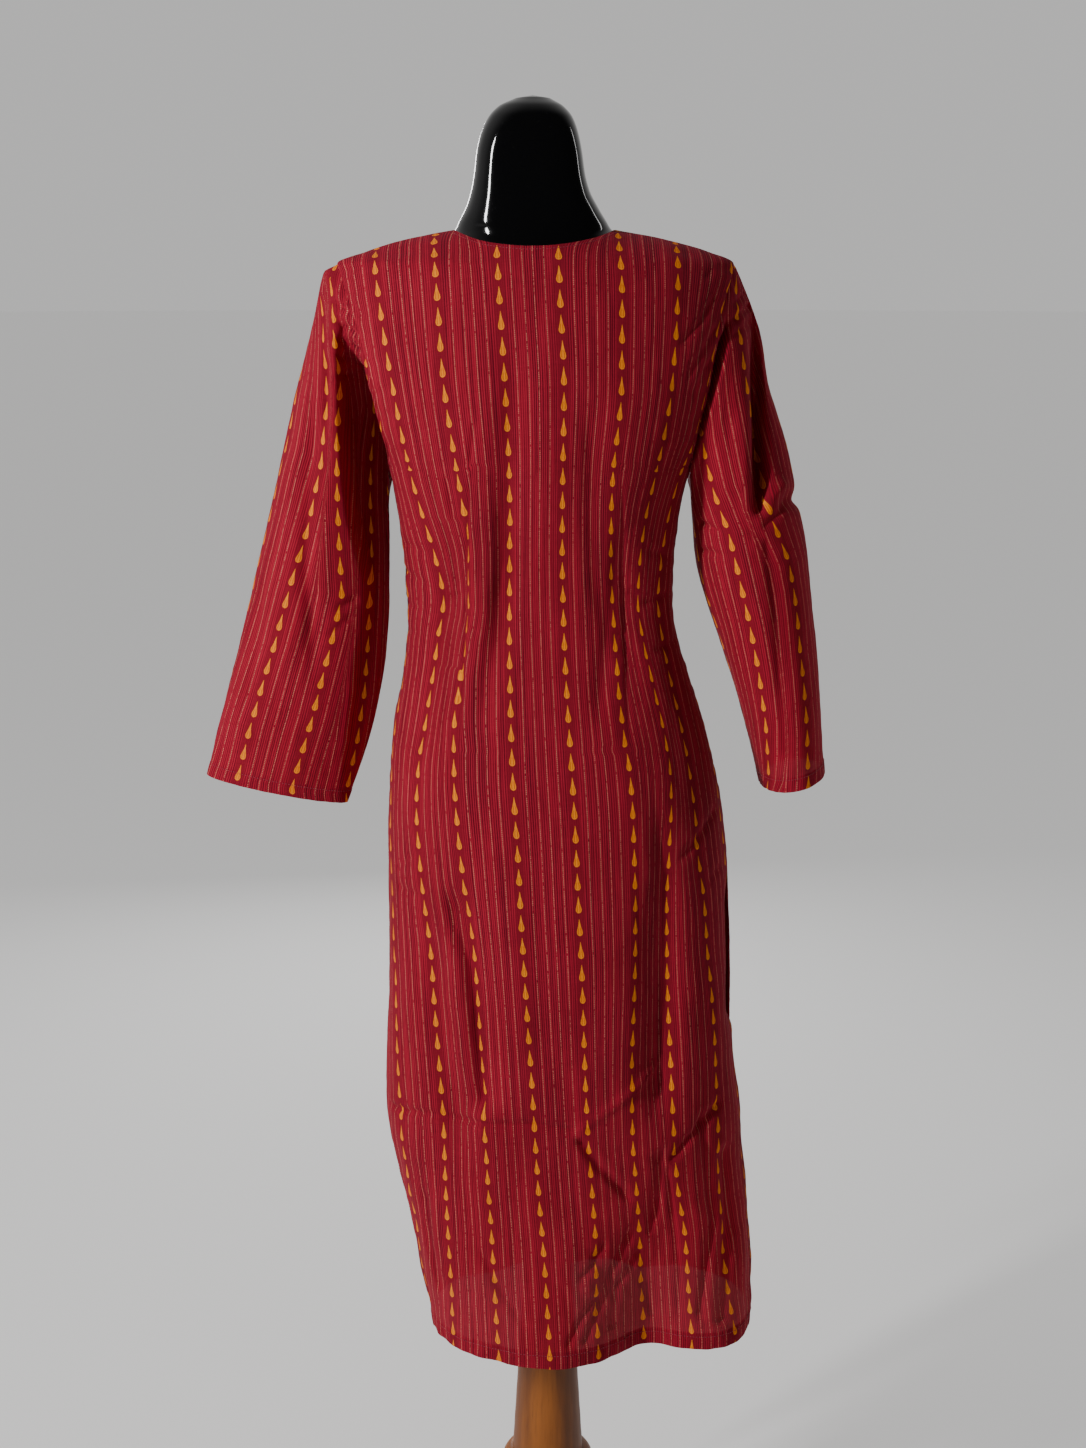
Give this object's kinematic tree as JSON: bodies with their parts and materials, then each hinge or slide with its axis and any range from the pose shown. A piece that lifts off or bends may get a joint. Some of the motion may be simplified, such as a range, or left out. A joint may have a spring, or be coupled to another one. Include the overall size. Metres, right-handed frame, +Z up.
{
  "type": "kurta tunic on dress form",
  "caption": "Long-sleeved kurta tunic with side slits and a round neck, hanging on a smooth limbless dress form on a turned wooden stand.",
  "frame": {"origin": "on the floor, at the middle of the stand base's flat underside, which is on the column's axis", "axes": "+Z up the column; the garment's front faces -Y and its back +Y; the wearer's left is +X"},
  "size_m": [0.6095, 0.344, 1.601],
  "materials": {
    "printed_cotton": "thin slubby crimson cotton, printed in drop stripes",
    "gloss_black": "polished black",
    "turned_wood": "varnished, turned"
  },
  "bodies": {
    "root": {"back": "printed_cotton", "back_hem": "printed_cotton", "back_slit_hem_left": "printed_cotton", "back_slit_hem_right": "printed_cotton", "front": "printed_cotton", "front_hem": "printed_cotton", "front_slit_hem_left": "printed_cotton", "front_slit_hem_right": "printed_cotton", "sleeve_left": "printed_cotton", "sleeve_left_hem": "printed_cotton", "sleeve_right": "printed_cotton", "sleeve_right_hem": "printed_cotton", "dress_form": "gloss_black", "stand_flange": "turned_wood", "stand_column": "turned_wood", "stand_collar": "turned_wood", "stand_base": "turned_wood"}
  },
  "joints": []
}
